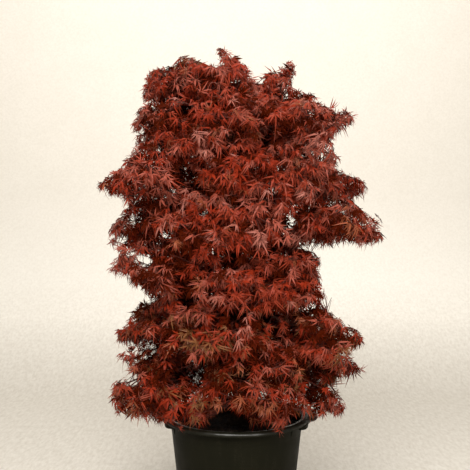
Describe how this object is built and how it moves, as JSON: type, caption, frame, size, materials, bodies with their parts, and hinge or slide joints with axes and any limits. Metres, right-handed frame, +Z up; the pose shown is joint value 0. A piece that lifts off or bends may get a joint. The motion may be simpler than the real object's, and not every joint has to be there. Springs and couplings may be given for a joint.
{
  "type": "potted japanese maple",
  "caption": "Upright shrub of layered dark red lobed leaves on a short flared trunk with rising leaders, in a round tapered black nursery pot with rim grips.",
  "frame": {"origin": "centre of the pot's flat underside, where it stands", "axes": "+Z up, -Y towards the viewer of the picture (the front), +X to the right in the picture"},
  "size_m": [0.8005, 0.6419, 1.277],
  "materials": {
    "pot_plastic": "satin black polypropylene, lightly dusty",
    "compost": "dark crumbly bark compost",
    "bark": "grey-brown young bark",
    "leaf_red": "soft crimson leaf",
    "leaf_dark": "soft maroon leaf",
    "leaf_rust": "soft rust-red leaf"
  },
  "bodies": {
    "root": {"bough_tier_1_back": "bark", "bough_tier_1_front": "bark", "bough_tier_1_left": "bark", "bough_tier_1_right": "bark", "bough_tier_2_back": "bark", "bough_tier_2_front": "bark", "bough_tier_2_left": "bark", "bough_tier_2_right": "bark", "bough_tier_3_back": "bark", "bough_tier_3_front": "bark", "bough_tier_3_left": "bark", "bough_tier_3_right": "bark", "bough_tier_4_back": "bark", "bough_tier_4_front": "bark", "bough_tier_4_left": "bark", "bough_tier_4_right": "bark", "bough_tier_5_back": "bark", "bough_tier_5_front": "bark", "bough_tier_5_left": "bark", "bough_tier_5_right": "bark", "bough_tier_6_back": "bark", "bough_tier_6_front": "bark", "bough_tier_6_left": "bark", "bough_tier_6_right": "bark", "compost": "compost", "foliage_tier_1_back": "leaf_rust", "foliage_tier_1_front": "leaf_dark", "foliage_tier_1_left": "leaf_red", "foliage_tier_1_right": "leaf_dark", "foliage_tier_2_back": "leaf_red", "foliage_tier_2_front": "leaf_rust", "foliage_tier_2_left": "leaf_dark", "foliage_tier_2_right": "leaf_rust", "foliage_tier_3_back": "leaf_dark", "foliage_tier_3_front": "leaf_red", "foliage_tier_3_left": "leaf_rust", "foliage_tier_3_right": "leaf_red", "foliage_tier_4_back": "leaf_rust", "foliage_tier_4_front": "leaf_dark", "foliage_tier_4_left": "leaf_red", "foliage_tier_4_right": "leaf_dark", "foliage_tier_5_back": "leaf_red", "foliage_tier_5_front": "leaf_rust", "foliage_tier_5_left": "leaf_dark", "foliage_tier_5_right": "leaf_rust", "foliage_tier_6_back": "leaf_dark", "foliage_tier_6_front": "leaf_red", "foliage_tier_6_left": "leaf_rust", "foliage_tier_6_right": "leaf_red", "foliage_top_back": "leaf_red", "foliage_top_left": "leaf_dark", "foliage_top_middle": "leaf_red", "foliage_top_right": "leaf_rust", "leader_top_back": "bark", "leader_top_left": "bark", "leader_top_right": "bark", "pot": "pot_plastic", "trunk": "bark"}
  },
  "joints": []
}
